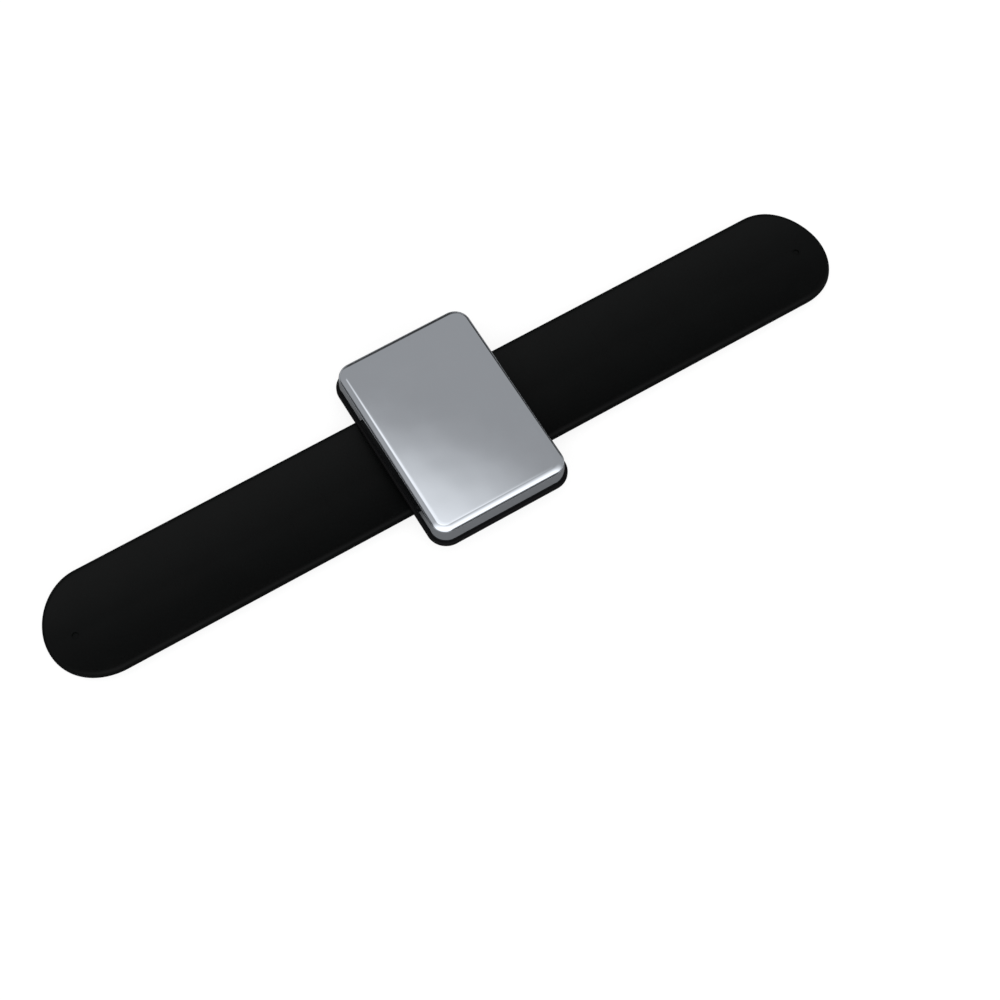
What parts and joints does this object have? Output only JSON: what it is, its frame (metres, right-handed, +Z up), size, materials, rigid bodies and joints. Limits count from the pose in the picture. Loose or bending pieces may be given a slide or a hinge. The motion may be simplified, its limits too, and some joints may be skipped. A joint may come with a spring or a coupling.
{
  "type": "magnetic wristband",
  "caption": "Straight silicone slap band, dished across its width, with a mirror-polished steel plate over magnets that holds pins, clips and small screws at the wrist.",
  "frame": {"origin": "middle of the strap's underside, on the surface that the straight strap lies on", "axes": "+X along the strap, +Y across it towards the plate's rear edge, +Z up out of the polished plate"},
  "size_m": [0.235, 0.0578, 0.0128],
  "materials": {
    "silicone": "matte",
    "spring_steel": "satin",
    "tray_plastic": "satin",
    "chrome": "polished",
    "ferrite": "matte",
    "adhesive_tape": "matte"
  },
  "bodies": {
    "core": {"strap_core": "silicone", "spring_core": "spring_steel", "tray": "tray_plastic", "cover_plate": "chrome", "magnet_front": "ferrite", "magnet_rear": "ferrite", "magnet_tape_front": "adhesive_tape", "magnet_tape_rear": "adhesive_tape", "cover_tape": "adhesive_tape"},
    "left_1": {"strap_left_1": "silicone", "spring_left_1": "spring_steel"},
    "left_2": {"strap_left_2": "silicone", "spring_left_2": "spring_steel"},
    "left_3": {"strap_left_3": "silicone", "spring_left_3": "spring_steel"},
    "left_4": {"strap_left_4": "silicone", "spring_left_4": "spring_steel"},
    "left_5": {"strap_left_5": "silicone", "spring_left_5": "spring_steel"},
    "left_6": {"strap_left_6": "silicone", "spring_left_6": "spring_steel"},
    "left_7": {"strap_left_7": "silicone", "spring_left_7": "spring_steel"},
    "left_tip": {"strap_left_tip": "silicone", "spring_left_tip": "spring_steel"},
    "right_1": {"strap_right_1": "silicone", "spring_right_1": "spring_steel"},
    "right_2": {"strap_right_2": "silicone", "spring_right_2": "spring_steel"},
    "right_3": {"strap_right_3": "silicone", "spring_right_3": "spring_steel"},
    "right_4": {"strap_right_4": "silicone", "spring_right_4": "spring_steel"},
    "right_5": {"strap_right_5": "silicone", "spring_right_5": "spring_steel"},
    "right_6": {"strap_right_6": "silicone", "spring_right_6": "spring_steel"},
    "right_7": {"strap_right_7": "silicone", "spring_right_7": "spring_steel"},
    "right_tip": {"strap_right_tip": "silicone", "spring_right_tip": "spring_steel"}
  },
  "joints": [
    {"name": "left_curl_1", "type": "hinge", "parent": "core", "child": "left_1", "pos_m": [-0.0211, 0, 0], "axis": [0, -1, 0], "range_deg": [0, 32]},
    {"name": "left_curl_2", "type": "hinge", "parent": "left_1", "child": "left_2", "pos_m": [-0.03194, 0, 0], "axis": [0, -1, 0], "range_deg": [0, 32]},
    {"name": "left_curl_3", "type": "hinge", "parent": "left_2", "child": "left_3", "pos_m": [-0.04279, 0, 0], "axis": [0, -1, 0], "range_deg": [0, 32]},
    {"name": "left_curl_4", "type": "hinge", "parent": "left_3", "child": "left_4", "pos_m": [-0.05363, 0, 0], "axis": [0, -1, 0], "range_deg": [0, 32]},
    {"name": "left_curl_5", "type": "hinge", "parent": "left_4", "child": "left_5", "pos_m": [-0.06447, 0, 0], "axis": [0, -1, 0], "range_deg": [0, 32]},
    {"name": "left_curl_6", "type": "hinge", "parent": "left_5", "child": "left_6", "pos_m": [-0.07531, 0, 0], "axis": [0, -1, 0], "range_deg": [0, 16]},
    {"name": "left_curl_7", "type": "hinge", "parent": "left_6", "child": "left_7", "pos_m": [-0.08616, 0, 0], "axis": [0, -1, 0], "range_deg": [0, 8]},
    {"name": "left_curl_8", "type": "hinge", "parent": "left_7", "child": "left_tip", "pos_m": [-0.097, 0, 0], "axis": [0, -1, 0], "range_deg": [0, 8]},
    {"name": "right_curl_1", "type": "hinge", "parent": "core", "child": "right_1", "pos_m": [0.0211, 0, 0], "axis": [0, 1, 0], "range_deg": [0, 28]},
    {"name": "right_curl_2", "type": "hinge", "parent": "right_1", "child": "right_2", "pos_m": [0.03194, 0, 0], "axis": [0, 1, 0], "range_deg": [0, 28]},
    {"name": "right_curl_3", "type": "hinge", "parent": "right_2", "child": "right_3", "pos_m": [0.04279, 0, 0], "axis": [0, 1, 0], "range_deg": [0, 28]},
    {"name": "right_curl_4", "type": "hinge", "parent": "right_3", "child": "right_4", "pos_m": [0.05363, 0, 0], "axis": [0, 1, 0], "range_deg": [0, 28]},
    {"name": "right_curl_5", "type": "hinge", "parent": "right_4", "child": "right_5", "pos_m": [0.06447, 0, 0], "axis": [0, 1, 0], "range_deg": [0, 28]},
    {"name": "right_curl_6", "type": "hinge", "parent": "right_5", "child": "right_6", "pos_m": [0.07531, 0, 0], "axis": [0, 1, 0], "range_deg": [0, 28]},
    {"name": "right_curl_7", "type": "hinge", "parent": "right_6", "child": "right_7", "pos_m": [0.08616, 0, 0], "axis": [0, 1, 0], "range_deg": [0, 7]},
    {"name": "right_curl_8", "type": "hinge", "parent": "right_7", "child": "right_tip", "pos_m": [0.097, 0, 0], "axis": [0, 1, 0], "range_deg": [0, 7]}
  ],
  "couplings": [
    {"joint": "left_curl_2", "follows": "left_curl_1", "ratio": 1},
    {"joint": "left_curl_3", "follows": "left_curl_1", "ratio": 1},
    {"joint": "left_curl_4", "follows": "left_curl_1", "ratio": 1},
    {"joint": "left_curl_5", "follows": "left_curl_1", "ratio": 1},
    {"joint": "left_curl_6", "follows": "left_curl_1", "ratio": 0.5},
    {"joint": "left_curl_7", "follows": "left_curl_1", "ratio": 0.25},
    {"joint": "left_curl_8", "follows": "left_curl_1", "ratio": 0.25},
    {"joint": "right_curl_2", "follows": "right_curl_1", "ratio": 1},
    {"joint": "right_curl_3", "follows": "right_curl_1", "ratio": 1},
    {"joint": "right_curl_4", "follows": "right_curl_1", "ratio": 1},
    {"joint": "right_curl_5", "follows": "right_curl_1", "ratio": 1},
    {"joint": "right_curl_6", "follows": "right_curl_1", "ratio": 1},
    {"joint": "right_curl_7", "follows": "right_curl_1", "ratio": 0.25},
    {"joint": "right_curl_8", "follows": "right_curl_1", "ratio": 0.25}
  ]
}
